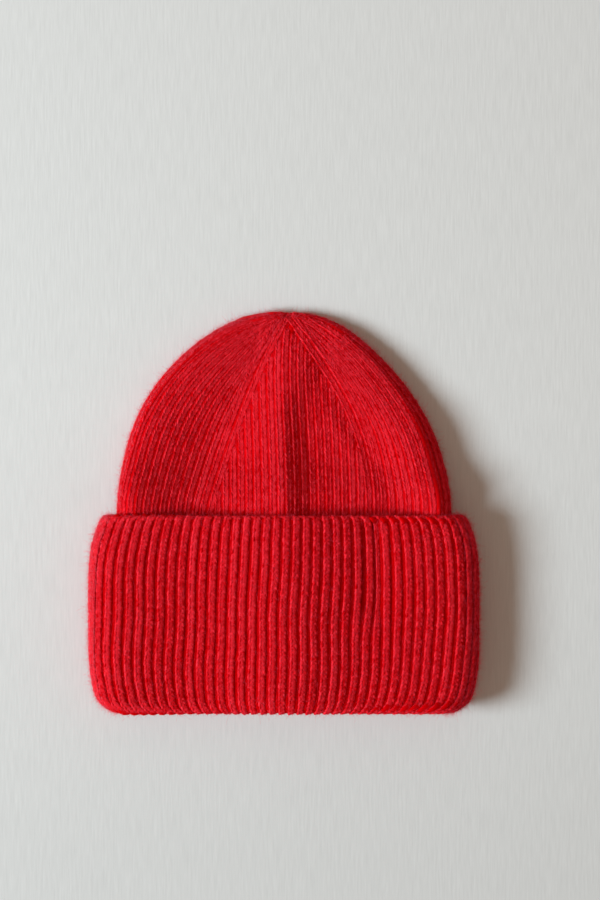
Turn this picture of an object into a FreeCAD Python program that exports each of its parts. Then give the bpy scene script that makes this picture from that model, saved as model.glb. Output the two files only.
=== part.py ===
"""Knit beanie with a deep turned-up cuff, lying flat.

Frame: X across the hat, +Y towards the crown's tip, +Z up from the surface it lies on.
The origin is under the middle of the hat, on that surface. Lengths are in millimetres.
"""

import FreeCAD, Part
import math
import os
import Sketcher

# Driving dimensions of the hat as it lies flat. Every feature reads them from the sheet.
SIZES = {
    "hat_length": 222.0,
    "cuff_depth": 109.5,
    "cuff_width": 107.5,
    "cuff_draw_in": 8.7,
    "cuff_rise": 15.0,
    "cuff_wall": 5.1,
    "flat_trim": 0.05,
    "fold_depth": 6.5,
    "fold_round": 5.0,
    "edge_depth": 3.0,
    "edge_round": 1.4,
    "seam_width": 1.6,
    "seam_place": 50.0,
    "tube_width": 92.0,
    "tube_rise": 9.4,
    "crown_rise": 11.5,
    "crown_taper": 0.35,
    "crown_clear": 0.8,
    "knit_wall": 3.2,
    "fold_gap": 0.3,
    "petal_width": 42.0,
    "band_width": 8.0,
    "ridge_width": 2.4,
    "ridge_rise": 1.4,
    "yarn": 1.7,
    "tail": 1.4,
    "tail_hole": 2.0,
    "loop_reach": 12.6,
    "loop_rise": 1.8,
    "knot": 3.2,
    "knot_setback": 4.0,
    "label_length": 32.0,
    "label_breadth": 22.0,
    "label_thick": 0.5,
    "label_lift": 0.35,
    "label_top": -60.0,
    "label_corner": 1.5,
    "stitch_pitch": 4.4,
    "stitch_yarn": 0.5,
}

# How far up the crown each cross-section stands, as a share of the crown's height.
OUTER_STATIONS = (0.0, 0.2, 0.4, 0.6, 0.8, 0.92, 0.985)
INNER_STATIONS = (0.0, 0.2, 0.4, 0.6, 0.8, 0.92)

# How far from the fold to the free edge each cross-section of the cuff stands.
CUFF_STATIONS = (0.0, 0.05, 0.2, 0.5, 0.8, 0.95, 1.0)

STITCH_COUNT = 5
STITCH_SHARE = 0.6  # how much of the pitch a stitch of the label covers
TIP_LEVEL = 4.0  # where the front and back panels part at the tip
REACH = 400.0  # more than the whole hat, for the solids that only cut
RUN_OUT = 2.0  # how far a cutting solid passes a face

CROWN_BASE = "(Sizes.cuff_depth - Sizes.hat_length / 2)"
CROWN_HEIGHT = "(Sizes.hat_length - Sizes.cuff_depth)"
BRIM = "(-Sizes.hat_length / 2)"
TUBE_LENGTH = "(Sizes.cuff_depth - Sizes.fold_depth - Sizes.fold_gap)"
SEAM_INSET = "(Sizes.knit_wall + Sizes.ridge_rise)"
LABEL_FLOOR = "Sizes.cuff_rise - Sizes.tube_rise + Sizes.knit_wall + Sizes.label_lift"

TOWARDS_TIP = FreeCAD.Rotation(FreeCAD.Vector(1, 0, 0), -90)
ACROSS = FreeCAD.Rotation(FreeCAD.Vector(0, 1, 0), 90)

doc = FreeCAD.newDocument("KnitBeanie")


def size(name):
    """A driving dimension, in millimetres."""
    return SIZES[name]


def make_sheet():
    """The spreadsheet that holds the driving dimensions."""
    sheet = doc.addObject("Spreadsheet::Sheet", "Sizes")
    for row, (name, value) in enumerate(SIZES.items(), start=1):
        sheet.set(f"A{row}", name)
        sheet.set(f"B{row}", str(value))
        sheet.setAlias(f"B{row}", name)
    doc.recompute()
    return sheet


def origin_plane(body, role):
    """One of a body's own origin planes."""
    return next(item for item in body.Origin.OriginFeatures if item.Role == role)


def attach(sketch, body, role, x="0", y="0", z="0"):
    """Lay a sketch on an origin plane, moved by expressions in the sketch's own frame."""
    sketch.AttachmentSupport = [(origin_plane(body, role), [""])]
    sketch.MapMode = "FlatFace"
    for axis, expression in (("x", x), ("y", y), ("z", z)):
        sketch.setExpression(f"AttachmentOffset.Base.{axis}", expression)


def bind(sketch, constraint, name, expression):
    """Add a named dimension to a sketch and tie it to the sheet."""
    index = sketch.addConstraint(constraint)
    sketch.renameConstraint(index, name)
    sketch.setExpression(f"Constraints.{name}", expression)


def oval_sketch(body, name, across, rise, place, middle):
    """A flattened ring's outline across the hat: two straight sides and two half rounds.

    across and rise are its half width and half height, place is its Y, middle its height.
    """
    sketch = body.newObject("Sketcher::SketchObject", name)
    attach(sketch, body, "XZ_Plane", y=middle, z=f"-({place})")
    radius, reach = 5.0, 20.0
    quarter = math.pi / 2
    depth = FreeCAD.Vector(0, 0, 1)

    def point(x, y):
        return FreeCAD.Vector(x, y, 0)

    def half_round(x, start):
        circle = Part.Circle(point(x, 0), depth, radius)
        return Part.ArcOfCircle(circle, start, start + 2 * quarter)

    sketch.addGeometry(Part.LineSegment(point(-reach, -radius), point(reach, -radius)), False)
    sketch.addGeometry(half_round(reach, -quarter), False)
    sketch.addGeometry(Part.LineSegment(point(reach, radius), point(-reach, radius)), False)
    sketch.addGeometry(half_round(-reach, quarter), False)
    for edge in range(4):
        sketch.addConstraint(Sketcher.Constraint("Tangent", edge, 2, (edge + 1) % 4, 1))
    sketch.addConstraint(Sketcher.Constraint("Equal", 1, 3))
    sketch.addConstraint(Sketcher.Constraint("Symmetric", 1, 3, 3, 3, -1, 1))
    sketch.addConstraint(Sketcher.Constraint("PointOnObject", 1, 3, -1))
    bind(sketch, Sketcher.Constraint("Radius", 1, radius), "rise", rise)
    reach_rule = f"2 * (({across}) - ({rise}))"
    bind(sketch, Sketcher.Constraint("DistanceX", 3, 3, 1, 3, 2 * reach), "span", reach_rule)
    return sketch


def loft(body, name, sketches):
    """A smooth skin through a row of outlines."""
    feature = body.newObject("PartDesign::AdditiveLoft", name)
    feature.Profile = sketches[0]
    feature.Sections = sketches[1:]
    feature.Ruled = False
    return feature


def round_edges(body, name, matches, radius):
    """Round every edge of a body that passes a test."""
    doc.recompute()
    base = body.Tip
    numbered = enumerate(base.Shape.Edges, start=1)
    edges = [f"Edge{number}" for number, edge in numbered if matches(edge)]
    feature = body.newObject("PartDesign::Fillet", name)
    feature.Base = (base, edges)
    feature.setExpression("Radius", radius)
    body.Tip = feature
    return feature


def stands_at(place):
    """A test for edges that run across the hat at one Y."""

    def matches(edge):
        ends = edge.Vertexes
        level = all(abs(vertex.Y - place) < 1e-4 for vertex in ends)
        return level and abs(ends[0].X - ends[-1].X) > 1.0

    return matches


def boolean(kind, name, base, tool):
    """A Part boolean of two document objects."""
    feature = doc.addObject(f"Part::{kind}", name)
    feature.Base = base
    feature.Tool = tool
    return feature


def slab(name, low, high):
    """A box between two corners, each a triple of expressions or numbers."""
    box = doc.addObject("Part::Box", name)
    sides = ("Length", "Width", "Height")
    for side, axis, near, far in zip(sides, "xyz", low, high):
        box.setExpression(f"Placement.Base.{axis}", str(near))
        box.setExpression(side, f"({far}) - ({near})")
    return box


# --- the knitted body: tube inside the cuff, and crown --------------------------------------


def station_rules(share, inset):
    """Half width, half height, Y and middle height of one crown cross-section."""
    round_off = f"(1 - {share}^2)"
    if share == 0.0:
        rise = "Sizes.tube_rise"
        middle = "Sizes.cuff_rise"
    else:
        rise = f"Sizes.crown_rise * {round_off}^Sizes.crown_taper"
        middle = f"{rise} + Sizes.crown_clear"
    across = f"Sizes.tube_width * sqrt{round_off} - {inset}"
    place = f"({CROWN_BASE} + {CROWN_HEIGHT} * {share})"
    return across, f"{rise} - {inset}", place, middle


TIP_PLACE, TIP_MIDDLE = station_rules(OUTER_STATIONS[-1], "0")[2:]
TAIL_MIDDLE = f"{TIP_MIDDLE} + Sizes.loop_rise"
HOLLOW_END = station_rules(INNER_STATIONS[-1], "0")[2]


def knit_form(name, stations, inset, run_out):
    """Tube and crown as one solid, everywhere this much inside the hat's outer face."""
    body = doc.addObject("PartDesign::Body", name)
    sketches = []
    for number, share in enumerate(stations):
        across, rise, place, middle = station_rules(share, inset)
        label = f"{name}_station_{number}"
        sketches.append(oval_sketch(body, label, across, rise, place, middle))
    loft(body, f"{name}_crown", sketches)
    tube = body.newObject("PartDesign::Pad", f"{name}_tube")
    tube.Profile = sketches[0]
    tube.setExpression("Length", f"{TUBE_LENGTH} + {run_out}")
    body.Tip = tube
    return body


def tombstone(name, half_width):
    """An upright prism: straight sides up to the crown, then half an ellipse to the tip."""
    ellipse = doc.addObject("Part::Ellipse", f"{name}_ellipse")
    ellipse.setExpression("MajorRadius", CROWN_HEIGHT)
    ellipse.setExpression("MinorRadius", half_width)
    turn = FreeCAD.Rotation(FreeCAD.Vector(0, 0, 1), 90)
    ellipse.Placement = FreeCAD.Placement(FreeCAD.Vector(0, 0, -RUN_OUT), turn)
    ellipse.setExpression("Placement.Base.y", CROWN_BASE)
    column = doc.addObject("Part::Extrusion", f"{name}_column")
    column.Base = ellipse
    column.DirMode = "Custom"
    column.Dir = FreeCAD.Vector(0, 0, 1)
    column.LengthFwd = REACH
    column.Solid = True
    low = (f"-({half_width})", -REACH, -RUN_OUT)
    high = (half_width, CROWN_BASE, REACH - RUN_OUT)
    return boolean("Fuse", name, column, slab(f"{name}_foot", low, high))


def upper_side():
    """Everything above the hat's middle, which falls from the cuff towards the tip."""
    body = doc.addObject("PartDesign::Body", "upper_side")
    sketch = body.newObject("Sketcher::SketchObject", "upper_outline")
    attach(sketch, body, "YZ_Plane")
    base = size("cuff_depth") - size("hat_length") / 2
    middle, tip = size("cuff_rise"), size("hat_length") / 2
    corners = [(-REACH, middle), (base, middle), (tip, TIP_LEVEL), (tip, REACH), (-REACH, REACH)]
    points = [FreeCAD.Vector(y, z, 0) for y, z in corners]
    count = len(points)
    for number in range(count):
        line = Part.LineSegment(points[number], points[(number + 1) % count])
        sketch.addGeometry(line, False)
    for number in range(count):
        follow = (number + 1) % count
        sketch.addConstraint(Sketcher.Constraint("Coincident", number, 2, follow, 1))
    for line in (0, 3):
        sketch.addConstraint(Sketcher.Constraint("Horizontal", line))
    for line in (2, 4):
        sketch.addConstraint(Sketcher.Constraint("Vertical", line))
    level = Sketcher.Constraint("DistanceY", -1, 1, 0, 2, middle)
    bind(sketch, level, "middle", "Sizes.cuff_rise")
    run = Sketcher.Constraint("DistanceX", 0, 2, 1, 2, tip - base)
    bind(sketch, run, "tip_run", CROWN_HEIGHT)
    place = Sketcher.Constraint("DistanceX", -1, 1, 1, 2, tip)
    bind(sketch, place, "tip_place", "Sizes.hat_length / 2")
    sketch.addConstraint(Sketcher.Constraint("DistanceY", -1, 1, 1, 2, TIP_LEVEL))
    sketch.addConstraint(Sketcher.Constraint("DistanceX", 0, 1, -1, 1, REACH))
    sketch.addConstraint(Sketcher.Constraint("DistanceY", -1, 1, 3, 1, REACH))
    pad = body.newObject("PartDesign::Pad", "upper_pad")
    pad.Profile = sketch
    pad.SideType = "Symmetric"
    pad.Length = REACH
    body.Tip = pad
    return body


def knit_panels():
    """The tube and crown, cut where the knitting is narrowed: four petals, four bands."""
    outer = knit_form("knit_outer", OUTER_STATIONS, "0", 0)
    inner = knit_form("knit_inner", INNER_STATIONS, "Sizes.knit_wall", RUN_OUT)
    hollow = boolean("Cut", "knit_hollow", outer, inner)
    eye = doc.addObject("Part::Cylinder", "tip_eye")
    eye.setExpression("Radius", "Sizes.tail_hole / 2")
    eye.Height = REACH
    eye.Placement = FreeCAD.Placement(FreeCAD.Vector(0, 0, 0), TOWARDS_TIP)
    eye.setExpression("Placement.Base.y", CROWN_BASE)
    eye.setExpression("Placement.Base.z", TAIL_MIDDLE)
    shell = boolean("Cut", "knit_shell", hollow, eye)

    petal = tombstone("petal_column", "Sizes.petal_width")
    wide = tombstone("band_column", "(Sizes.petal_width + Sizes.band_width)")
    ring = boolean("Cut", "band_ring", wide, petal)
    right = slab("right_half", (0, -REACH, -REACH), (REACH, REACH, REACH))
    upper = upper_side()

    front = boolean("Common", "shell_front", shell, upper)
    back = boolean("Cut", "shell_back", shell, upper)
    sides = boolean("Cut", "shell_sides", shell, wide)
    panels = [
        boolean("Common", "front_panel", front, petal),
        boolean("Common", "back_panel", back, petal),
        boolean("Common", "right_side_panel", sides, right),
        boolean("Cut", "left_side_panel", sides, right),
    ]
    for name, half in (("front", front), ("back", back)):
        strips = boolean("Common", f"{name}_strips", half, ring)
        panels.append(boolean("Common", f"{name}_right_narrowing", strips, right))
        panels.append(boolean("Cut", f"{name}_left_narrowing", strips, right))
    return panels + [body_seam(inner, upper, right)]


def body_seam(inner, upper, right):
    """The sewn ridge inside the body, from the brim up under the front right band."""
    core = knit_form("knit_core", INNER_STATIONS[:-1], SEAM_INSET, RUN_OUT)
    lining = boolean("Cut", "seam_lining", inner, core)
    middle = "(Sizes.petal_width + Sizes.band_width / 2)"
    near = tombstone("ridge_near", f"({middle} - Sizes.ridge_width / 2)")
    far = tombstone("ridge_far", f"({middle} + Sizes.ridge_width / 2)")
    ring = boolean("Cut", "ridge_ring", far, near)
    low = (0, f"{BRIM} + Sizes.fold_depth + Sizes.fold_gap", -REACH)
    stop = f"{CROWN_BASE} + {CROWN_HEIGHT} * {INNER_STATIONS[-2]}"
    span = slab("ridge_span", low, (REACH, stop, REACH))
    strip = boolean("Common", "ridge_strip", ring, span)
    whole = boolean("Common", "ridge_whole", lining, strip)
    return boolean("Common", "body_seam", whole, upper)


# --- the turned-up cuff ---------------------------------------------------------------------


def cuff_oval(body, name, share, inset, run_out=0.0):
    """A cross-section of the cuff, this share of the way from the fold to the free edge."""
    rise = "Sizes.cuff_rise"
    place = f"{BRIM} + Sizes.cuff_depth * {share} + {run_out}"
    across = f"Sizes.cuff_width - Sizes.cuff_draw_in * (2 * {share} - 1)^4 - {inset}"
    return oval_sketch(body, name, across, f"{rise} - {inset}", place, rise)


def cuff_profile():
    """The cuff seen from the side: flat above and below, round at the fold and the edge."""
    body = doc.addObject("PartDesign::Body", "cuff_profile")
    block = body.newObject("PartDesign::AdditiveBox", "profile_block")
    block.Length = 2 * REACH
    block.setExpression("Width", "Sizes.cuff_depth")
    block.setExpression("Height", "2 * Sizes.cuff_rise")
    block.setExpression("Placement.Base.x", str(-REACH))
    block.setExpression("Placement.Base.y", BRIM)
    body.Tip = block
    fold = -size("hat_length") / 2
    round_edges(body, "profile_fold", stands_at(fold), "Sizes.fold_round")
    free_edge = fold + size("cuff_depth")
    round_edges(body, "profile_edge", stands_at(free_edge), "Sizes.edge_round")
    return body


def cuff_solid():
    """The cuff as a solid, drawn in towards both ends."""
    body = doc.addObject("PartDesign::Body", "cuff_form")
    rings = []
    for number, share in enumerate(CUFF_STATIONS):
        rings.append(cuff_oval(body, f"cuff_ring_{number}", share, "(-Sizes.flat_trim)"))
    body.Tip = loft(body, "cuff_loft", rings)
    return boolean("Common", "cuff_blank", body, cuff_profile())


def cuff_hollow():
    """The space inside the cuff that the body lies in."""
    body = doc.addObject("PartDesign::Body", "cuff_space")
    run_outs = {CUFF_STATIONS[0]: -RUN_OUT, CUFF_STATIONS[-1]: RUN_OUT}
    rings = []
    for number, share in enumerate(CUFF_STATIONS):
        run_out = run_outs.get(share, 0.0)
        name = f"space_ring_{number}"
        rings.append(cuff_oval(body, name, share, "Sizes.cuff_wall", run_out))
    body.Tip = loft(body, "space_loft", rings)
    return body


def cuff_pieces():
    """Fold, ribbed band, free edge of first loops and the seam that closes the band."""
    blank = cuff_solid()
    fold_top = f"{BRIM} + Sizes.fold_depth"
    edge_low = f"{CROWN_BASE} - Sizes.edge_depth"
    fold_zone = slab("fold_zone", (-REACH, -REACH, -REACH), (REACH, fold_top, REACH))
    edge_zone = slab("edge_zone", (-REACH, edge_low, -REACH), (REACH, REACH, REACH))

    mouth = doc.addObject("PartDesign::Body", "mouth")
    across, rise, _, middle = station_rules(0.0, "Sizes.knit_wall")
    oval = oval_sketch(mouth, "mouth_oval", across, rise, f"{fold_top} + 1", middle)
    mouth_pad = mouth.newObject("PartDesign::Pad", "mouth_pad")
    mouth_pad.Profile = oval
    mouth_pad.setExpression("Length", "Sizes.fold_depth + 2")
    mouth.Tip = mouth_pad
    fold_solid = boolean("Common", "fold_solid", blank, fold_zone)
    fold = boolean("Cut", "brim_fold", fold_solid, mouth)

    ring = boolean("Cut", "cuff_ring", blank, cuff_hollow())
    edge = boolean("Common", "cast_on_edge", ring, edge_zone)
    past_fold = boolean("Cut", "cuff_past_fold", ring, fold_zone)
    tube = boolean("Cut", "cuff_tube", past_fold, edge_zone)

    half = "Sizes.seam_width / 2"
    low = (f"Sizes.seam_place - {half}", -REACH, "Sizes.cuff_rise")
    seam_zone = slab("seam_zone", low, (f"Sizes.seam_place + {half}", REACH, REACH))
    band = boolean("Cut", "cuff_band", tube, seam_zone)
    seam = boolean("Common", "cuff_seam", tube, seam_zone)
    return [fold, band, edge, seam]


# --- yarn at the tip, and the label ---------------------------------------------------------


def gather_loop():
    """The yarn drawn through the last stitches, a flat loop lying on the tip."""
    body = doc.addObject("PartDesign::Body", "crown_gather_yarn")
    place = f"{TIP_PLACE} + Sizes.yarn / 2"
    reach, rise = "Sizes.loop_reach", "Sizes.loop_rise"
    path = oval_sketch(body, "gather_path", reach, rise, place, TIP_MIDDLE)
    section = body.newObject("Sketcher::SketchObject", "gather_section")
    attach(section, body, "YZ_Plane", x=place, y=f"{TIP_MIDDLE} + {rise}")
    circle = Part.Circle(FreeCAD.Vector(0, 0, 0), FreeCAD.Vector(0, 0, 1), size("yarn") / 2)
    section.addGeometry(circle, False)
    section.addConstraint(Sketcher.Constraint("Coincident", 0, 3, -1, 1))
    bind(section, Sketcher.Constraint("Diameter", 0, size("yarn")), "yarn", "Sizes.yarn")
    pipe = body.newObject("PartDesign::AdditivePipe", "gather_pipe")
    pipe.Profile = section
    pipe.Spine = path
    body.Tip = pipe
    return body


def gather_knot():
    """The knot inside the crown that holds the drawn loop, with its tail up to the loop."""
    ball = doc.addObject("Part::Sphere", "knot_ball")
    ball.setExpression("Radius", "Sizes.knot / 2")
    ball.setExpression("Placement.Base.y", f"{HOLLOW_END} - Sizes.knot_setback")
    ball.setExpression("Placement.Base.z", TAIL_MIDDLE)
    tail = doc.addObject("Part::Cylinder", "knot_tail")
    tail.setExpression("Radius", "Sizes.tail / 2")
    tail.setExpression("Height", f"{TIP_PLACE} - {HOLLOW_END} + Sizes.knot_setback")
    tail.Placement = FreeCAD.Placement(FreeCAD.Vector(0, 0, 0), TOWARDS_TIP)
    tail.setExpression("Placement.Base.y", f"{HOLLOW_END} - Sizes.knot_setback")
    tail.setExpression("Placement.Base.z", TAIL_MIDDLE)
    return boolean("Fuse", "gather_knot", ball, tail)


def care_label():
    """The blank woven label that hangs inside the back, sewn along its top edge."""
    body = doc.addObject("PartDesign::Body", "care_label")
    sketch = body.newObject("Sketcher::SketchObject", "label_outline")
    attach(sketch, body, "XY_Plane", y="Sizes.label_top", z=LABEL_FLOOR)
    half, length = size("label_breadth") / 2, size("label_length")
    corners = [(-half, 0), (-half, -length), (half, -length), (half, 0)]
    points = [FreeCAD.Vector(x, y, 0) for x, y in corners]
    for number in range(4):
        line = Part.LineSegment(points[number], points[(number + 1) % 4])
        sketch.addGeometry(line, False)
    for number in range(4):
        follow = (number + 1) % 4
        sketch.addConstraint(Sketcher.Constraint("Coincident", number, 2, follow, 1))
    for line in (0, 2):
        sketch.addConstraint(Sketcher.Constraint("Vertical", line))
    for line in (1, 3):
        sketch.addConstraint(Sketcher.Constraint("Horizontal", line))
    sketch.addConstraint(Sketcher.Constraint("Symmetric", 3, 1, 3, 2, -1, 1))
    breadth = Sketcher.Constraint("DistanceX", 1, 1, 1, 2, 2 * half)
    bind(sketch, breadth, "breadth", "Sizes.label_breadth")
    bind(sketch, Sketcher.Constraint("DistanceY", 2, 1, 2, 2, length), "length", "Sizes.label_length")
    pad = body.newObject("PartDesign::Pad", "label_pad")
    pad.Profile = sketch
    pad.setExpression("Length", "Sizes.label_thick")
    body.Tip = pad
    free_end = size("label_top") - length

    def is_free_corner(edge):
        upright = abs(edge.Vertexes[0].Z - edge.Vertexes[-1].Z) > size("label_thick") / 2
        return upright and abs(edge.Vertexes[0].Y - free_end) < 1e-4

    round_edges(body, "label_corners", is_free_corner, "Sizes.label_corner")
    return body


def label_stitches():
    """The row of stitches along the label's top edge, short rounded bars lying on it."""
    bars = []
    level = f"{LABEL_FLOOR} + Sizes.label_thick + Sizes.stitch_yarn / 2"
    for number in range(STITCH_COUNT):
        bar = doc.addObject("Part::Cylinder", f"stitch_{number}")
        bar.setExpression("Radius", "Sizes.stitch_yarn / 2")
        bar.setExpression("Height", f"Sizes.stitch_pitch * {STITCH_SHARE}")
        bar.Placement = FreeCAD.Placement(FreeCAD.Vector(0, 0, 0), ACROSS)
        step = number - (STITCH_COUNT - 1) / 2 - STITCH_SHARE / 2
        bar.setExpression("Placement.Base.x", f"Sizes.stitch_pitch * {step}")
        bar.setExpression("Placement.Base.y", "Sizes.label_top - Sizes.yarn")
        bar.setExpression("Placement.Base.z", level)
        bars.append(bar)
    group = doc.addObject("Part::Compound", "label_stitches")
    group.Links = bars
    return group


def check(pieces):
    """Stop with a plain message if anything failed to build."""
    for item in doc.Objects:
        if "Invalid" in item.State or "Error" in item.State:
            raise RuntimeError(f"{item.Name} failed: {item.State}")
    for piece in pieces:
        if piece.Shape.isNull() or not piece.Shape.isValid():
            raise RuntimeError(f"{piece.Label} has no valid shape")
        if piece.Shape.Volume <= 0:
            raise RuntimeError(f"{piece.Label} has no volume")


def write(pieces):
    """Write one STEP file for each piece, named after its label."""
    os.makedirs("parts", exist_ok=True)
    for piece in pieces:
        piece.Shape.exportStep(f"parts/{piece.Label}.step")
        box = piece.Shape.optimalBoundingBox(False)
        solids = len(piece.Shape.Solids)
        span = f"{box.XMin:.1f}..{box.XMax:.1f} {box.YMin:.1f}..{box.YMax:.1f}"
        span += f" {box.ZMin:.2f}..{box.ZMax:.2f}"
        print(f"{piece.Label}: {solids} solid(s), {piece.Shape.Volume / 1000:.2f} cm3, {span}")


def main():
    """Build the hat and write its pieces."""
    make_sheet()
    pieces = knit_panels() + cuff_pieces()
    pieces += [gather_loop(), gather_knot(), care_label(), label_stitches()]
    doc.recompute()
    check(pieces)
    write(pieces)


main()
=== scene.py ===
"""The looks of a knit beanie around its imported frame: every stitch is a shape of its own."""

import math

import bpy
import numpy as np
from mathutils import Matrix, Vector


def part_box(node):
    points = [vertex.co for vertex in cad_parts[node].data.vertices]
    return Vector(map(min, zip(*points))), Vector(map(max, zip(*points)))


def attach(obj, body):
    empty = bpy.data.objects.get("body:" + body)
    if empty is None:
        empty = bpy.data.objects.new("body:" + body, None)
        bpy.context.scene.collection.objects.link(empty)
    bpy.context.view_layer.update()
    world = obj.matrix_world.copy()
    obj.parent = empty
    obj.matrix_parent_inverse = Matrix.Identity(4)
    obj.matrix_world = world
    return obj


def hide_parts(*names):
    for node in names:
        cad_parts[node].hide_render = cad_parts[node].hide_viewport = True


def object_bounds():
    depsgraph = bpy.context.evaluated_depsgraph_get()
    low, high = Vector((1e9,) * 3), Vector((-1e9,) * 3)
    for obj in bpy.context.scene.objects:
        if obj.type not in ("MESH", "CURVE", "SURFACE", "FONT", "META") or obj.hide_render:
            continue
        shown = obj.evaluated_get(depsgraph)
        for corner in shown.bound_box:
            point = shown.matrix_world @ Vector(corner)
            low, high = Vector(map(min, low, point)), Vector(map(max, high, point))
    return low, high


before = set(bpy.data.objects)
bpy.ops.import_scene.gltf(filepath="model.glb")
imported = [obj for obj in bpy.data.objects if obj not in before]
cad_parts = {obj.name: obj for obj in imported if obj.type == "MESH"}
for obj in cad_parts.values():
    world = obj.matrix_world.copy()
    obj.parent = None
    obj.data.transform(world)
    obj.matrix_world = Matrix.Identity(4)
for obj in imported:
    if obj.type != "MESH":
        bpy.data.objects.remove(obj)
cad_low, cad_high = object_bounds()
scene = bpy.context.scene

# --- sizes, in millimetres, read from the frame ---

MM = 0.001


def box_mm(node):
    """A node's lowest and highest corners, in millimetres."""
    low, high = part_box(node)
    return np.array(low) / MM, np.array(high) / MM


FOLD_OUT = 1.0  # how far the fold's stitches stand out of its line
BRIM = box_mm("brim_fold")[0][1] + FOLD_OUT
CUFF_TOP = box_mm("cast_on_edge")[1][1]
TIP = cad_high[1] / MM
CUFF_WIDTH = box_mm("cuff_band")[1][0]
CUFF_END_WIDTH = box_mm("cast_on_edge")[1][0] - 1.0  # its loops stand out by the rest
CUFF_RISE = box_mm("cuff_band")[1][2] / 2
CUFF_WALL = 5.1  # how thick the cuff's own two layers are
SEAM_PLACE = float(np.mean([corner[0] for corner in box_mm("cuff_seam")]))
SEAM_SHOWS = -60.0  # above this the cuff's seam column is sunk
TUBE_WIDTH = box_mm("right_side_panel")[1][0]
TUBE_START = box_mm("right_side_panel")[0][1]
TUBE_RISE = box_mm("front_panel")[1][2] - CUFF_RISE
CROWN_HEIGHT = TIP - CUFF_TOP
KNIT_WALL = 3.2  # how thick the body's layer is

# The crown's half thickness at its edge, how it falls to the tip, and its gap to the table.
CROWN_RISE, CROWN_TAPER, CROWN_CLEAR = 6.8, 0.5, 0.8
TIP_RISE = 3.3  # the half thickness at the tip
CROWN_SETTLE = 0.3  # the share of its height over which the crown comes down from the cuff
EDGE_SHARE = 1.1  # how far in from the outline the body's edge is round, over its half thickness
CUFF_EDGE_REACH = 17.0  # how far in from its sides the cuff is round
BRIM_TUCK = 0.8  # how far the body draws in at the brim, to clear the cuff as that comes down
FOLD_ROUND = 4.4  # the brim fold's radius, half of body and cuff together

BODY_RIBS, CUFF_RIBS = 89, 82
BODY_ROW, CUFF_ROW = 2.06, 2.4
TURN = 3.0  # how far the body is turned, so that its front rib lies right of the middle
TIP_SHIFT = 2.0  # where the two front narrowing lines meet, right of the tip
PETAL = {1: 10.5, -1: 11.0}  # ribs from a petal's middle to its narrowing line, front and back
NARROWING = {(1, 1): 2.4, (1, -1): 1.25, (-1, 1): 1.8, (-1, -1): 1.8}  # how full each line is
APEX_DROP = 4.5  # how far below the tip the front petal's point lies
CUFF_TWIST = 0.03  # how much the cuff's ribs lean, to the right going up
SIDE_RIBS = 21  # ribs of one side panel
RIB_STEP = 0.7  # between the points of a body rib's line
TIP_GAP = 0.8  # how far short of the tip the ribs end
SEAM_SINK, SEAM_GROOVE, SEAM_THIN = 0.9, 0.6, 0.4  # the sunk rib, the grooves beside it, its loss

rng = np.random.default_rng(20)


def smooth(low, high, value):
    """0 below low, 1 above high, and a smooth step between."""
    t = np.clip((value - low) / (high - low), 0, 1)
    return t * t * (3 - 2 * t)


def bell(centre, width, value):
    """A soft hump of height 1."""
    return np.exp(-(((value - centre) / width) ** 2))


def unit(vectors):
    """Vectors of length 1 in the same directions."""
    return vectors / np.maximum(np.linalg.norm(vectors, axis=-1, keepdims=True), 1e-9)


def quarter_round(reach, rise):
    """The length of a quarter of an ellipse."""
    return math.pi / 2 * np.sqrt((reach**2 + rise**2) / 2)


TUBE_REACH = EDGE_SHARE * TUBE_RISE
TO_EDGE = TUBE_WIDTH - TUBE_REACH + quarter_round(TUBE_REACH, TUBE_RISE)
BODY_PITCH = 4 * TO_EDGE / BODY_RIBS

# --- the flat hat's shape ---


def share_up(y):
    """How far up the crown a place is, from 0 at the cuff to 1 at the tip."""
    return np.clip((y - CUFF_TOP) / CROWN_HEIGHT, 0, 1)


def outline(angle):
    """The body's outline on the right: straight below the crown, a quarter ellipse above."""
    up = np.maximum(angle, 0)
    x = TUBE_WIDTH * np.cos(up)
    y = CUFF_TOP + CROWN_HEIGHT * (np.sin(up) + np.minimum(angle, 0))
    out = unit(np.stack([np.cos(up) / TUBE_WIDTH, np.sin(up) / CROWN_HEIGHT], -1))
    return x, y, out


GRID = 0.5  # the step of the plan grid that holds the inset
GRID_X = np.arange(0, TUBE_WIDTH + 3, GRID)
GRID_Y = np.arange(CUFF_TOP - 30, TIP + 3, GRID)


def inset_table():
    """How far each point of a plan grid lies inside the outline."""
    ox, oy, _ = outline(np.linspace(-0.3, math.pi / 2, 900))
    table = np.empty((len(GRID_Y), len(GRID_X)))
    for row, y in enumerate(GRID_Y):
        across = GRID_X[:, None] - ox[None]
        gap = np.sqrt(across**2 + (y - oy[None]) ** 2).min(axis=1)
        inside = GRID_X < TUBE_WIDTH * np.sqrt(1 - share_up(y) ** 2)
        table[row] = np.where(inside & (y < TIP), gap, -gap)
    return table


INSET = inset_table()


def inset(x, y):
    """The table read at any point, and the straight tube's own inset below it."""
    col = np.clip(np.abs(x) / GRID, 0, len(GRID_X) - 1.001)
    row = np.clip((y - GRID_Y[0]) / GRID, 0, len(GRID_Y) - 1.001)
    i, j = row.astype(int), col.astype(int)
    v, u = row - i, col - j
    low = INSET[i, j] * (1 - u) + INSET[i, j + 1] * u
    high = INSET[i + 1, j] * (1 - u) + INSET[i + 1, j + 1] * u
    return np.where(y < CUFF_TOP, TUBE_WIDTH - np.abs(x), low * (1 - v) + high * v)


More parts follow.
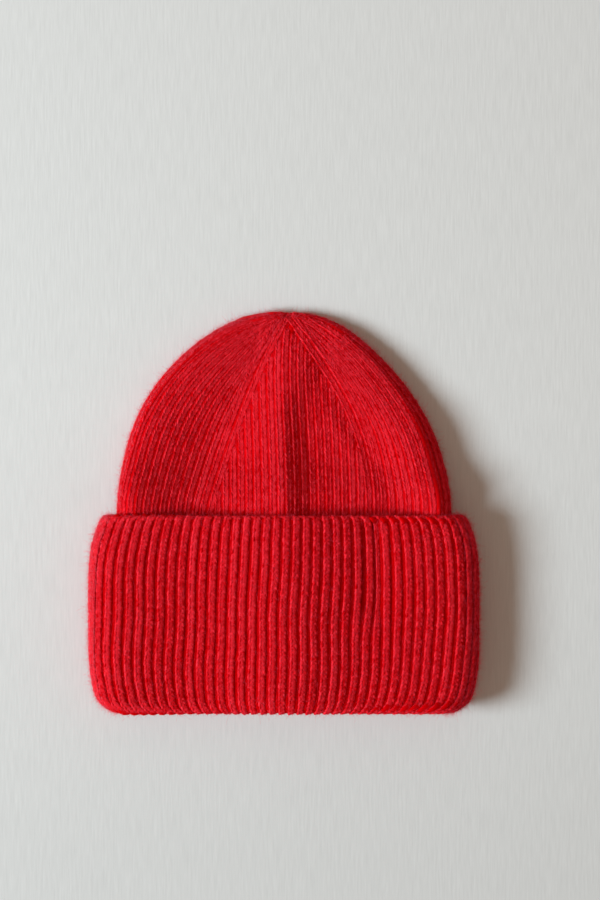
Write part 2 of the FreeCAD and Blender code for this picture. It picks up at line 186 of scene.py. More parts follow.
def body_rise(y):
    """Half the body's thickness and the height of its middle."""
    up = share_up(y)
    settle = smooth(0, CROWN_SETTLE, up)
    rise = TIP_RISE + (CROWN_RISE - TIP_RISE) * (1 - up**2 + 1e-6) ** CROWN_TAPER
    tuck = BRIM_TUCK * smooth(TUBE_START + 15, TUBE_START + 4, y)
    rise = TUBE_RISE + (rise - TUBE_RISE) * settle - tuck
    middle = CUFF_RISE + (rise + CROWN_CLEAR - CUFF_RISE) * settle
    return rise, middle


def slope(low, high, value):
    """0 below low, 1 above high, and a nearly straight slope between."""
    t = np.clip((value - low) / (high - low), 0, 1)
    return 0.5 * t + 0.5 * t * t * (3 - 2 * t)


def swells(x, y):
    """How the soft crown's upper side sinks and rises, against its edge."""
    up = (y - CUFF_TOP) / CROWN_HEIGHT
    fade = smooth(-0.22, 0.02, up) * smooth(1.0, 0.75, up)
    late = smooth(0.0, 0.14, up) * smooth(1.0, 0.75, up)
    edge = TUBE_WIDTH * np.sqrt(1 - np.clip(up, 0, 0.97) ** 2)
    bottom = -54 + 48 * np.clip(up, 0, 0.8)
    high = 1 - 0.72 * smooth(0.25, 0.85, up)
    # The left side sinks from its edge to the bottom of its hollow.
    sunk = -8.2 * high * slope(9 - edge, bottom, x) * smooth(4, bottom, x)
    inside = smooth(edge - 1, edge - 11, x)
    middle = 3.8 * high * smooth(bottom + 2, 3, x) * inside
    # Right of the middle it drops, and rises again to a shoulder near the right edge.
    shoulder = 74 - 57 * up
    rise = 8.0 * smooth(shoulder - 14, shoulder + 16, x)
    fall = 12 * smooth(0.5, 0.75, up)
    drop = high * (rise - 6.2 * smooth(fall - 2, fall + 16, x)) * inside
    groove = -0.3 * bell(7.0, 2.4, inset(x, y)) * (x < 0)  # beside the left outline
    fold = 0.8 * bell(0, 6, x - 26 - 60 * (0.5 - up)) * bell(0.38, 0.25, up)
    ripple = 0.35 * np.sin(x / 7.3 + 1.0) * np.sin(y / 9.1) + 0.3 * np.sin(x / 13 - y / 11)
    return fade * (sunk + drop + groove) + late * (middle + ripple + fold)


def body_height(x, y, side):
    """The height of the body's face at a plan point; side is 1 above and -1 below."""
    rise, middle = body_rise(y)
    reach = EDGE_SHARE * rise
    share = np.clip(inset(x, y) / reach, 0, 1)
    round_off = np.sqrt(1 - (1 - share) ** 2)
    z = middle + side * rise * round_off
    if side > 0:
        z = z + (swells(x, y) + cuff_swells(x, y)) * round_off
    return z


def lean(points):
    """The crown as it lies: a little narrower near the tip, and pushed to the left."""
    up = share_up(points[..., 1])
    narrow = 1 - 0.05 * np.sin(math.pi * up**4)
    shift = -2.3 * np.sin(math.pi * up**2)
    out = points.copy()
    out[..., 0] = points[..., 0] * narrow + shift
    return out


def band_place(up, side, hand):
    """How far out a narrowing line lies at a share of the crown's height."""
    foot = PETAL[side] * BODY_PITCH + side * hand * TURN
    bend = np.maximum(up, 0) ** NARROWING[side, hand]
    return foot * (1 - bend) + hand * TIP_SHIFT * bend


def past_band(x, y, side, hand):
    """How far a plan point lies outside a narrowing line; x is measured towards its hand."""
    up = share_up(y)
    step = 1e-3
    slant = (band_place(up + step, side, hand) - band_place(up, side, hand)) / step / CROWN_HEIGHT
    slant = np.where(y > CUFF_TOP, slant, 0)
    return (x - band_place(up, side, hand)) / np.sqrt(1 + slant**2)


def closeness(side, hand, angle):
    """How close the side panel's ribs lie, up along the outline, against their spread at its foot."""
    ox, oy, out = outline(angle)
    step, farthest = 0.5, 75
    steps = np.arange(0, farthest, step)
    x = ox[:, None] - steps * out[:, None, 0]
    y = oy[:, None] - steps * out[:, None, 1]
    gap = x - band_place(share_up(y), side, hand)
    first = np.maximum(np.argmax(gap < 0, axis=1), 1)
    row = np.arange(len(angle))
    before, after = gap[row, first - 1], gap[row, first]
    inward = (first - 1 + np.clip(before / (before - after), 0, 1)) * step
    rise, _ = body_rise(oy)
    reach = EDGE_SHARE * rise
    span = inward - reach + quarter_round(reach, rise)
    return np.clip(span / span[0], 0.05, 1.2)


def front_line(x, y, side):
    """Points of a rib that runs straight up a petal."""
    x = x + 0 * y
    return lean(np.stack([x, y, body_height(x, y, side)], -1))


def band_line(offset, y, side, hand):
    """Points of a rib of a narrowing band, beside the band's own line."""
    up = (y - CUFF_TOP) / CROWN_HEIGHT
    place = band_place(up, side, hand)
    slant = np.gradient(place, y)
    normal = unit(np.stack([np.ones_like(y), -slant], -1))
    x = place + offset * normal[:, 0]
    y = y + offset * normal[:, 1]
    return lean(np.stack([hand * x, y, body_height(hand * x, y, side)], -1))


def side_line(distance, close, angle, hand):
    """Points of a rib of a side panel, this far round the edge from the outline at its foot."""
    ox, oy, out = outline(angle)
    rise, _ = body_rise(oy)
    reach = EDGE_SHARE * rise
    quarter = quarter_round(reach, rise)
    span = np.abs(distance) * close
    turn = np.clip(span / quarter, 0, 1) * math.pi / 2
    inward = reach * (1 - np.cos(turn)) + np.maximum(span - quarter, 0)
    x, y = ox - inward * out[..., 0], oy - inward * out[..., 1]
    rise, middle = body_rise(y)
    side = 1.0 if distance >= 0 else -1.0
    z = middle + side * rise * np.sin(turn)
    if side > 0:
        z = z + (swells(hand * x, y) + cuff_swells(hand * x, y)) * np.sin(turn)
    return lean(np.stack([hand * x, y, z], -1))


def cuff_width(y):
    """The cuff's half width, drawn in at the fold and at the free edge."""
    share = np.clip((y - BRIM) / (CUFF_TOP - BRIM), 0, 1)
    width = CUFF_WIDTH - (CUFF_WIDTH - CUFF_END_WIDTH) * (2 * share - 1) ** 4
    return width - 3.0 * smooth(BRIM + 8, BRIM, y)


CUFF_QUARTER = quarter_round(CUFF_EDGE_REACH, CUFF_RISE)
CUFF_HALF_ROUND = 2 * (CUFF_WIDTH - CUFF_EDGE_REACH + CUFF_QUARTER)
CUFF_PITCH = 2 * CUFF_HALF_ROUND / CUFF_RIBS


def off_rims(y):
    """1 on the cuff's face, less near its fold and its free edge, so that both lie level."""
    return smooth(BRIM - 9, BRIM + 12, y) * smooth(CUFF_TOP + 10, CUFF_TOP - 10, y)


def cuff_swells(x, y):
    """The slow swells of the cuff's upper side, which the body inside it follows."""
    left = 0.6 * smooth(-64, -94, x) - 5.6 * slope(6, -54, x)
    right = 0.9 * smooth(46, 70, x) - 4.2 * smooth(-5, 50, x)
    return off_rims(y) * (1.2 + left + right)


def cuff_dents(x, y):
    """How the cuff's upper side lies: its swells, small ripples and the drawn-in seam."""
    ripple = 0.3 * np.sin(x / 19 + 0.6) * np.sin((y - BRIM) / 21 + 0.4)
    near = smooth(SEAM_PLACE - 19, SEAM_PLACE - 3, x) * smooth(SEAM_PLACE + 30, SEAM_PLACE + 4, x)
    pinch = -0.9 * near * smooth(SEAM_SHOWS - 6, SEAM_SHOWS + 12, y)
    return cuff_swells(x, y) + off_rims(y) * (ripple + pinch)


def cuff_point(distance, y, depth):
    """A point of the cuff, this far round from the middle of its front, this deep in."""
    distance = distance + CUFF_TWIST * (y - (BRIM + CUFF_TOP) / 2)
    hand = np.where(distance < 0, -1.0, 1.0)
    span = np.abs(distance)
    flat = CUFF_WIDTH - CUFF_EDGE_REACH
    back = span > CUFF_HALF_ROUND / 2
    span = np.where(back, CUFF_HALF_ROUND - span, span)
    turn = np.clip((span - flat) / CUFF_QUARTER, 0, 1) * math.pi / 2
    along = np.minimum(span, flat) + CUFF_EDGE_REACH * np.sin(turn)
    lift = np.cos(turn)
    sag = np.where(back, 0.0, 1.2 * (np.minimum(span, flat) / flat) ** 2 * lift)
    x = hand * along / CUFF_WIDTH * (cuff_width(y) - depth)
    rise = (CUFF_RISE - depth) * lift - sag
    z = CUFF_RISE + np.where(back, -1, 1) * rise + cuff_dents(x, y) * ~back * lift
    return np.stack([x, y + 0 * x, z], -1)


# --- ribs: a line on the hat, its outward direction, and how it is knitted ---


class Rib:
    """A line of points with an outward direction at each, and distances along it.

    lines holds the rib's own line and one close by on each side, which tell what is outward.
    scale is its thickness, and sink and groove say how deep it and the groove beside it lie.
    """

    def __init__(self, lines, pitch, row, node, hand=1.0, scale=None, sink=None, groove=None):
        centre, left, right = lines
        steps = np.linalg.norm(np.diff(centre, axis=0), axis=1)
        self.along = np.concatenate([[0], np.cumsum(steps)])
        self.length = self.along[-1]
        forward = unit(np.gradient(centre, axis=0))
        out = unit(np.cross(unit(right - left), forward)) * hand
        across = unit(np.cross(forward, out))
        self.scale = np.ones(len(centre)) if scale is None else np.minimum(scale, 1.0)
        self.sink = np.zeros(len(centre)) if sink is None else sink
        self.groove = np.zeros(len(centre)) if groove is None else groove
        points = centre - out * self.sink[:, None]
        self.tables = np.concatenate([points, across, forward, out], axis=1)
        self.middle = centre[len(centre) // 2]
        self.pitch, self.row, self.node = pitch, row, node

    def read(self, along):
        """Point, across, forward and outward directions at distances along the rib."""
        place = np.searchsorted(self.along, along, side="right") - 1
        place = np.clip(place, 0, len(self.along) - 2)
        low, high = self.along[place], self.along[place + 1]
        share = np.clip((along - low) / np.maximum(high - low, 1e-6), 0, 1)[..., None]
        both = self.tables[place] * (1 - share) + self.tables[place + 1] * share
        return both[..., 0:3], unit(both[..., 3:6]), unit(both[..., 6:9]), unit(both[..., 9:12])

    def size(self, along):
        """How thick the rib is at distances along it, against its full thickness."""
        return np.interp(along, self.along, self.scale)


TINY = 0.3  # how far apart the helper lines run that tell a rib's outward direction


def cut(lines, keep, scale=None):
    """The first unbroken stretch of a rib's lines that is kept."""
    count = len(keep) if keep.all() else int(np.argmin(keep))
    kept = [line[:count] for line in lines]
    return kept if scale is None else (kept, scale[:count])


def tucked(count, step):
    """How deep a rib lies along its length when its last few millimetres tuck under."""
    left = (count - 1 - np.arange(count)) * step
    return 1.9 * smooth(5.5, 0.5, left)


def petal_ribs(side, name):
    """The straight ribs of the front or back petal."""
    rows = np.arange(TUBE_START, TIP - TIP_GAP, RIB_STEP)
    most = int(PETAL[side] - 1)
    numbers = np.arange(-most, most + 1) if side > 0 else np.arange(-most, most) + 0.5
    ribs = []
    for number in numbers:
        x = number * BODY_PITCH + side * TURN
        keep = past_band(x, rows, side, 1) < -0.5 * BODY_PITCH
        keep &= past_band(-x, rows, side, -1) < -0.5 * BODY_PITCH
        keep |= rows < CUFF_TOP
        keep &= rows < TIP - APEX_DROP * (side > 0) - TIP_GAP
        lines = cut([front_line(x + e, rows, side) for e in (0, -TINY, TINY)], keep)
        sink = tucked(len(lines[0]), RIB_STEP)
        ribs.append(Rib(lines, BODY_PITCH, BODY_ROW, f"{name}_panel", side, None, sink))
    return ribs


def band_ribs(side, name, hand, word):
    """The two ribs of a narrowing band."""
    rows = np.arange(TUBE_START, TIP - TIP_GAP, RIB_STEP)
    ribs = []
    for offset in (-0.5, 0.5):
        reach = offset * BODY_PITCH
        lines = [band_line(reach + e, rows, side, hand) for e in (0, -TINY, TINY)]
        keep = lines[0][:, 1] < TIP - TIP_GAP
        lines = cut(lines, keep)
        thin = 1 - 0.45 * smooth(0.86, 1.0, share_up(lines[0][:, 1]))
        node = f"{name}_{word}_narrowing"
        ribs.append(Rib(lines, BODY_PITCH, BODY_ROW, node, side * hand, thin))
    return ribs


def share_of_room(number, close):
    """How thick a side rib is where the panel narrows, and how far it goes before it ends."""
    if number % 2:
        return close * smooth(0.46, 0.62, close) + 0.05, 0.5
    wider = smooth(0.62, 0.5, close)
    if number % 4:
        return close * (1 + wider) * smooth(0.22, 0.32, close) + 0.05, 0.24
    widest = smooth(0.32, 0.24, close)
    return close * (1 + wider) * (1 + widest), 0.08


def side_ribs(hand, word):
    """The ribs of a side panel, from the front band round the edge to the back one."""
    foot = (TUBE_START - CUFF_TOP) / CROWN_HEIGHT
    angles = np.concatenate([np.linspace(foot, 0, 150), np.linspace(0, math.pi / 2, 320)[1:]])
    front_close, back_close = (closeness(side, hand, angles) for side in (1, -1))
    first = int(PETAL[1] + 1.5)
    ribs = []
    for number in range(first, first + SIDE_RIBS):
        distance = TO_EDGE - number * BODY_PITCH - hand * TURN
        close = front_close if distance >= 0 else back_close
        scale, stop = share_of_room(number, close)
        keep = (close > stop) | (angles < 0.5)
        lines = [side_line(distance + e, close, angles, hand) for e in (0, TINY, -TINY)]
        lines, scale = cut(lines, keep, scale)
        node = f"{word}_side_panel"
        ribs.append(Rib(lines, BODY_PITCH, BODY_ROW, node, hand, scale))
    return ribs


def body_ribs():
    """Every rib of the body and crown."""
    ribs = []
    for side, name in ((1, "front"), (-1, "back")):
        ribs += petal_ribs(side, name)
        for hand, word in ((1, "right"), (-1, "left")):
            ribs += band_ribs(side, name, hand, word)
    return ribs + side_ribs(1, "right") + side_ribs(-1, "left")


def cuff_route():
    """Y and depth of a cuff rib's face: inside the free edge, over it, down, round the fold."""
    lip = CUFF_WALL / 2
    turn = np.linspace(0, math.pi, 14)
    start = np.arange(CUFF_TOP - lip - 7, CUFF_TOP - lip, 0.9)
    lip_y = CUFF_TOP - lip + lip * np.sin(turn)
    lip_depth = lip + lip * np.cos(turn)
    face = np.arange(CUFF_TOP - lip, BRIM + FOLD_ROUND, -0.9)[1:]
    turn = np.linspace(0, math.pi, 18)
    fold_y = BRIM + FOLD_ROUND - FOLD_ROUND * np.sin(turn)
    fold_depth = FOLD_ROUND - FOLD_ROUND * np.cos(turn)
    end = np.arange(BRIM + FOLD_ROUND, BRIM + 1.5 * FOLD_ROUND, 0.7)[1:]
    y = np.concatenate([start, lip_y, face, fold_y, end])
    deep = (np.full(len(start), CUFF_WALL), lip_depth, np.zeros(len(face)), fold_depth,
            np.full(len(end), 2 * FOLD_ROUND))
    return y, np.concatenate(deep)


def cuff_ribs():
    """The cuff's ribs, all round it, one of them sunk where the seam shows."""
    ribs = []
    y, depth = cuff_route()
    for number in range(CUFF_RIBS):
        distance = (number - CUFF_RIBS // 2) * CUFF_PITCH
        lines = []
        for e in (0.0, -TINY, TINY):
            around = distance + e + wander(distance, y) + seam_pull(distance, y)
            around = (around + CUFF_HALF_ROUND) % (2 * CUFF_HALF_ROUND) - CUFF_HALF_ROUND
            lines.append(cuff_point(around, y, depth))
        sunk = smooth(SEAM_SHOWS - 6, SEAM_SHOWS + 10, y) * smooth(CUFF_WALL, 0.5, depth)
        past = (SEAM_PLACE - distance) / CUFF_PITCH
        sink = SEAM_SINK * sunk * (abs(past) < 0.5)
        groove = SEAM_GROOVE * sunk * (-0.5 < past < 1.5)
        thin = 1 - SEAM_THIN * sunk * (abs(past) < 0.5)
        ribs.append(Rib(lines, CUFF_PITCH, CUFF_ROW, "cuff_band", -1.0, thin, sink, groove))
    return ribs


def seam_pull(x, y):
    """How far the ribs beside the cuff's seam are drawn towards it."""
    gap = x - SEAM_PLACE
    if abs(gap) < 0.5 * CUFF_PITCH:
        return 0 * y
    near = math.exp(-(abs(gap) - CUFF_PITCH) / 7)
    return -math.copysign(1.1 * near, gap) * smooth(SEAM_SHOWS - 12, SEAM_SHOWS + 12, y)


def wander(x, y):
    """Slow, small sideways drift, nearly the same for neighbouring ribs."""
    return 0.45 * np.sin(x / 23 + 1) * np.sin(y / 15 + 2) + 0.22 * np.sin(y / 7 + x / 29)


# --- turning ribs into stitches and cords ---

TABLE_GAP = 0.05  # nothing soft goes lower than this over the table


class Shell:
    """Vertices, faces and a per-vertex yarn note, gathered before they become a mesh."""

    def __init__(self):
        self.points, self.faces, self.notes, self.count = [], [], [], 0

    def add(self, points, faces, notes):
        """Add many copies of one small mesh: points is copies x vertices x 3."""
        copies, size = points.shape[:2]
        start = self.count + np.arange(copies)[:, None, None] * size
        self.points.append(points.reshape(-1, 3))
        self.notes.append(notes.reshape(-1, 3))
        self.faces.append((start + faces[None]).reshape(-1, faces.shape[1]))
        self.count += copies * size

    def mesh(self, name):
        """A Blender mesh, in metres. Triangles are stored as quads with a repeated corner."""
        points = np.concatenate(self.points) * MM
        points[:, 2] = np.maximum(points[:, 2], TABLE_GAP * MM)
        notes = np.concatenate(self.notes)
        faces = np.concatenate(self.faces)
        sizes = np.where(faces[:, 3] == faces[:, 2], 3, 4)
        keep = np.ones(faces.shape, bool)
        keep[:, 3] = sizes == 4
        mesh = bpy.data.meshes.new(name)
        mesh.vertices.add(len(points))
        mesh.vertices.foreach_set("co", points.astype(np.float32).ravel())
        mesh.loops.add(int(sizes.sum()))
        mesh.loops.foreach_set("vertex_index", faces[keep].astype(np.int32))
        mesh.polygons.add(len(sizes))
        starts = np.concatenate([[0], np.cumsum(sizes)[:-1]]).astype(np.int32)
        mesh.polygons.foreach_set("loop_start", starts)
        mesh.polygons.foreach_set("use_smooth", np.ones(len(sizes), bool))
        note = mesh.attributes.new("yarn", "FLOAT_VECTOR", "POINT")
        note.data.foreach_set("vector", notes.astype(np.float32).ravel())
        mesh.update()
        return mesh


def strand_faces(rings, sides):
    """Faces of a closed strand: rings of sides vertices, then its two end points."""
    faces = []
    for ring in range(rings - 1):
        for i in range(sides):
            j = (i + 1) % sides
            a, b = ring * sides + i, ring * sides + j
            faces.append((a, b, b + sides, a + sides))
    low, high = rings * sides, rings * sides + 1
    last = (rings - 1) * sides
    for i in range(sides):
        j = (i + 1) % sides
        faces.append((low, j, i, i))
        faces.append((high, last + i, last + j, last + j))
    return np.array(faces)


def strands(centre, across, out, width, depth, sides):
    """Vertices of many strands: centre and directions are copies x rings x 3."""
    turn = np.arange(sides) / sides * 2 * math.pi
    ca, sa = np.cos(turn), np.sin(turn)
    body = (
        centre[:, :, None]
        + across[:, :, None] * (width[..., None] * ca)[..., None]
        + out[:, :, None] * (depth[..., None] * sa)[..., None]
    )
    copies, rings = centre.shape[:2]
    first = centre[:, :1] - 0.35 * (centre[:, 1:2] - centre[:, :1])
    last = centre[:, -1:] + 0.35 * (centre[:, -1:] - centre[:, -2:-1])
    return np.concatenate([body.reshape(copies, rings * sides, 3), first, last], axis=1)


def strand_notes(copies, rings, sides, tone, run):
    """Per-vertex notes of many strands: distance along, place around, and a tone for each."""
    notes = np.zeros((copies, rings * sides + 2, 3))
    ring = np.repeat(np.arange(rings), sides) / (rings - 1)
    notes[:, : rings * sides, 0] = ring * run
    notes[:, -1, 0] = run
    notes[:, : rings * sides, 1] = np.tile(np.arange(sides), rings) / sides
    notes[..., 2] = tone[:, None]
    return notes


def add_strands(shell, centre, across, out, width, depth, sides, run):
    """Add strands to a shell, each with a random tone; run is their length in the notes."""
    copies, rings = centre.shape[:2]
    points = strands(centre, across, out, width, depth, sides)
    notes = strand_notes(copies, rings, sides, rng.random(copies), run)
    shell.add(points, strand_faces(rings, sides), notes)


class Knit:
    """How one kind of rib is knitted: places and thicknesses as shares of its pitch.

    spread is how far a leg's two ends lie from the rib's middle, leg and depth are its half
    thickness across and outwards, lap is its length in rows, rings and sides say how finely its
    strand is made, and tilt is how much higher one leg lies than the other.
    """

    def __init__(self, spread, leg, depth, lap, rings, sides, tilt):
        self.spread, self.leg, self.depth, self.lap, self.tilt = spread, leg, depth, lap, tilt
        self.rings, self.sides = rings, sides


def stitches(shell, rib, knit, low, high):
    """Two slanted legs for each row of a rib, between two distances along it."""
    count = max(int((min(high, rib.length) - low) / rib.row), 0)
    if not count:
        return
    place = low + (np.arange(count) + 0.5) * rib.row
    step = np.linspace(0, 1, knit.rings)
    span = knit.lap * rib.row
    for hand in (-1.0, 1.0):
        jitter = rng.normal(0, 1, (count, 6))
        along = place[:, None] + (step - 0.5) * span * (1 + 0.06 * jitter[:, :1])
        along = np.clip(along + 0.07 * rib.row * jitter[:, 1:2], 0, rib.length)
        point, across, _, out = rib.read(along)
        size = rib.size(along)
        near, far = knit.spread
        sideways = hand * rib.pitch * (near + (far - near) * step)
        sideways = (sideways + 0.02 * rib.pitch * jitter[:, 2:3]) * size
        swell = np.sin(math.pi * (0.08 + 0.84 * step))
        width = rib.pitch * knit.leg * (0.55 + 0.45 * swell) * (1 + 0.07 * jitter[:, 3:4]) * size
        depth = rib.pitch * knit.depth * (0.5 + 0.5 * swell) * (1 + 0.05 * jitter[:, 4:5])
        tuck = rib.pitch * (0.17 * (1 - swell) + knit.depth * 0.95 - knit.tilt * hand)
        tuck = tuck - 0.08 * jitter[:, 5:6]
        centre = point + across * sideways[..., None] - out * tuck[..., None]
        add_strands(shell, centre, across, out, width, depth, knit.sides, span)


CORD_SIDES = 8


def cord(shell, rib, low, high, depth, half_width, half_depth, step=1.03, shift=0.0):
    """A soft cord behind a rib's stitches, or shifted into its groove, swelling at every row."""
    high = min(high, rib.length)
    if high - low < 2 * step:
        return
    along = np.arange(low, high, step)[None]
    point, across, _, out = rib.read(along)
    wave = 1 + 0.1 * np.sin(2 * math.pi * along / rib.row)
    size = rib.size(along)
    if shift:
        point = point + out * np.interp(along, rib.along, rib.sink - rib.groove)[..., None]
    if np.ndim(depth):
        depth = np.interp(along, rib.along, depth)[..., None]
    centre = point - out * depth + across * (shift * size)[..., None]
    width = half_width * wave * np.maximum(size, 0.5)
    thick = half_depth * wave
    add_strands(shell, centre, across, out, width, thick, CORD_SIDES, high - low)


# Hairs for each millimetre of a rib: on the upper side, underneath, and on the outline.
BODY_HAIRS, CUFF_HAIRS, UNDER_HAIRS, HALO_HAIRS = 3.8, 3.9, 2.5, 12.0
BODY_FUZZ, CUFF_FUZZ, HALO_FUZZ = 1.7, 1.8, 2.1  # how far most hairs stand off
LONGEST_HAIR = 5.0
HAIR_RINGS, HAIR_SIDES = 3, 3


def fibres(shell, rib, share, reach, low, high):
    """Loose hairs that stand off a rib, thin, curved and pointed; share is hairs per millimetre."""
    high = min(high, rib.length)
    count = int(share * (high - low))
    if count < 1:
        return
    root = rng.uniform(low, high, count)
    point, across, forward, out = rib.read(root)
    sideways = rng.normal(0, 0.28, count) * rib.pitch * rib.size(root)
    point = point + across * sideways[:, None] - out * 0.5
    length = np.minimum(reach * rng.lognormal(0, 0.5, count), LONGEST_HAIR)
    lean_to = rng.normal(0, 1, (count, 3))
    stand = rng.uniform(0.15, 1.3, (count, 1))
    push = unit(lean_to[:, :1] * across + lean_to[:, 1:2] * forward + stand * out)
    curl = unit(rng.normal(0, 1, (count, 3)) - 0.5 * out)
    step = np.linspace(0.05, 0.95, HAIR_RINGS)[None, :, None]
    centre = point[:, None] + push[:, None] * step * length[:, None, None]
    centre = centre + curl[:, None] * (0.45 * length[:, None, None] * step**2)
    thick = rng.uniform(0.028, 0.05, (count, 1)) * np.linspace(1, 0.5, HAIR_RINGS)[None]
    side = np.repeat(unit(np.cross(push, curl))[:, None], HAIR_RINGS, axis=1)
    other = np.repeat(unit(np.cross(side[:, 0], push))[:, None], HAIR_RINGS, axis=1)
    add_strands(shell, centre, side, other, thick, thick, HAIR_SIDES, 1.0)


def twist(shell, path, radius, turns):
    """Two strands twisted about a path of points: a plain two-ply yarn."""
    forward = unit(np.gradient(path, axis=0))
    side = unit(np.cross(forward, np.array([0.0, 0.0, 1.0])))
    up = np.cross(side, forward)
    phase = np.linspace(0, turns * 2 * math.pi, len(path))
    for start in (0, math.pi):
        swing = side * np.cos(phase + start)[:, None] + up * np.sin(phase + start)[:, None]
        centre = path + swing * radius
        thick = np.full((1, len(path)), radius * 1.15)
        add_strands(shell, centre[None], side[None], up[None], thick, thick, CORD_SIDES, turns)


# --- materials ---


def new_material(name, roughness):
    """A material with its node tree and its Principled shader."""
    material = bpy.data.materials.new(name)
    material.use_nodes = True
    tree = material.node_tree
    shader = tree.nodes["Principled BSDF"]
    shader.inputs["Roughness"].default_value = roughness
    return material, tree, shader


def add_node(tree, kind, **settings):
    """A node with its plain settings, its input values given by name."""
    node = tree.nodes.new(kind)
    for key, value in settings.items():
        if key in node.inputs:
            node.inputs[key].default_value = value
        else:
            setattr(node, key, value)
    return node


def set_inputs(node, values):
    """Plain values for a node's inputs."""
    for name, value in values.items():
        node.inputs[name].default_value = value


def add_ramp(tree, source, low, high):
    """A colour ramp over a value; low and high are a place and a colour each."""
    ramp = add_node(tree, "ShaderNodeValToRGB")
    for stop, (place, colour) in zip(ramp.color_ramp.elements, (low, high)):
        stop.position = place
        stop.color = (*colour, 1)
    tree.links.new(source, ramp.inputs[0])
    return ramp.outputs["Color"]


def add_bump(tree, shader, height, strength, distance):
    """Fine relief on a surface."""
    bump = add_node(tree, "ShaderNodeBump", Strength=strength, Distance=distance)
    tree.links.new(height, bump.inputs["Height"])
    tree.links.new(bump.outputs["Normal"], shader.inputs["Normal"])


def wool(name, dark, light, sheen):
    """Brushed wool: mottled colour, a tone for each stitch, fibre streaks and a soft sheen."""
    material, tree, shader = new_material(name, 1.0)
    link = tree.links.new
    set_inputs(shader, {
        "Specular IOR Level": 0.0,
        "Subsurface Weight": 0.5,
        "Subsurface Radius": (1.0, 0.1, 0.1),
        "Subsurface Scale": 0.0015,
        "Sheen Weight": sheen,
        "Sheen Roughness": 0.3,
        "Sheen Tint": (1.0, 0.2, 0.28, 1),
    })
    yarn = add_node(tree, "ShaderNodeAttribute", attribute_name="yarn")
    parts = add_node(tree, "ShaderNodeSeparateXYZ")
    link(yarn.outputs["Vector"], parts.inputs[0])
    place = add_node(tree, "ShaderNodeTexCoord")
    mottle = add_node(tree, "ShaderNodeTexNoise", Scale=420.0, Detail=4.0, Roughness=0.7)
    link(place.outputs["Object"], mottle.inputs["Vector"])
    mix = add_node(tree, "ShaderNodeMath", operation="MULTIPLY_ADD")
    mix.inputs[1].default_value = 0.4
    link(parts.outputs[2], mix.inputs[0])
    link(mottle.outputs["Fac"], mix.inputs[2])
    colour = add_ramp(tree, mix.outputs[0], (0.4, dark), (1.0, light))
    link(colour, shader.inputs["Base Color"])
    fine = add_node(tree, "ShaderNodeTexNoise", Scale=2600.0, Detail=3.0, Roughness=0.7)
    link(place.outputs["Object"], fine.inputs["Vector"])
    add_bump(tree, shader, fine.outputs["Fac"], 0.6, 0.0003)
    return material


def canvas():
    """The pale stretched cloth that the hat lies on: fine upright threads, and painted shade that
    darkens it towards the bottom.
    """
    material, tree, shader = new_material("pale_canvas", 0.9)
    link = tree.links.new
    shader.inputs["Specular IOR Level"].default_value = 0.1
    place = add_node(tree, "ShaderNodeTexCoord")
    stretch = add_node(tree, "ShaderNodeMapping")
    stretch.inputs["Scale"].default_value = (900.0, 60.0, 1.0)
    link(place.outputs["Object"], stretch.inputs["Vector"])
    threads = add_node(tree, "ShaderNodeTexNoise", Scale=1.0, Detail=5.0, Roughness=0.6)
    link(stretch.outputs["Vector"], threads.inputs["Vector"])
    grey, pale = (0.66, 0.665, 0.66), (0.74, 0.745, 0.74)
    colour = add_ramp(tree, threads.outputs["Fac"], (0.25, grey), (0.75, pale))
    parts = add_node(tree, "ShaderNodeSeparateXYZ")
    link(place.outputs["Object"], parts.inputs[0])
    # Painted shade: the cloth's colour is scaled from 0.98 down to 0.88 towards lower Y, for the
    # window light's fall-off towards the bottom of the picture.
    away = add_node(tree, "ShaderNodeMapRange")
    set_inputs(away, {"From Min": -0.2, "From Max": 0.05, "To Min": 0.88, "To Max": 0.98})
    link(parts.outputs[1], away.inputs["Value"])
    painted_falloff = add_node(tree, "ShaderNodeVectorMath", operation="SCALE")
    link(colour, painted_falloff.inputs[0])
    link(away.outputs["Result"], painted_falloff.inputs["Scale"])
    link(painted_falloff.outputs["Vector"], shader.inputs["Base Color"])
    add_bump(tree, shader, threads.outputs["Fac"], 0.15, 0.0004)
    return material


WOOL_DARK, WOOL_LIGHT = (0.54, 0.0003, 0.002), (0.87, 0.025, 0.044)
FUZZ_DARK, FUZZ_LIGHT = (0.85, 0.006, 0.015), (1.0, 0.035, 0.065)
crown_wool = wool("crown_wool", WOOL_DARK, WOOL_LIGHT, 0.08)
cuff_wool = wool("cuff_wool", WOOL_DARK, WOOL_LIGHT, 0.08)
# Painted shade: in the crown's grooves, in the backing behind the ribs and deep between the cuff's
# ribs, the yarn is given a darker colour and no sheen, for the shade that falls there.
shaded_groove_wool = wool("shaded_groove_wool", (0.62, 0.0003, 0.001), (0.76, 0.002, 0.006), 0.0)
deep_shade_wool = wool("deep_shade_wool", (0.53, 0.0002, 0.001), (0.66, 0.001, 0.003), 0.0)
fuzz = wool("loose_fibres", FUZZ_DARK, FUZZ_LIGHT, 0.0)
# Painted highlight: the hairs on the left outline, which faces the window, are given a paler, pinker
# colour than any others.
highlight_fuzz = wool("painted_highlight_fibres", (0.85, 0.03, 0.06), (1.0, 0.12, 0.19), 0.0)


def place_piece(shell, name, material, body, nodes=()):
    """Make a gathered shell a piece of the hat."""
    piece = bpy.data.objects.new(name, shell.mesh(name))
    piece.data.materials.append(material)
    scene.collection.objects.link(piece)
    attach(piece, body)
    if nodes:
        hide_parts(*nodes)
    return piece


# --- the knitted pieces ---

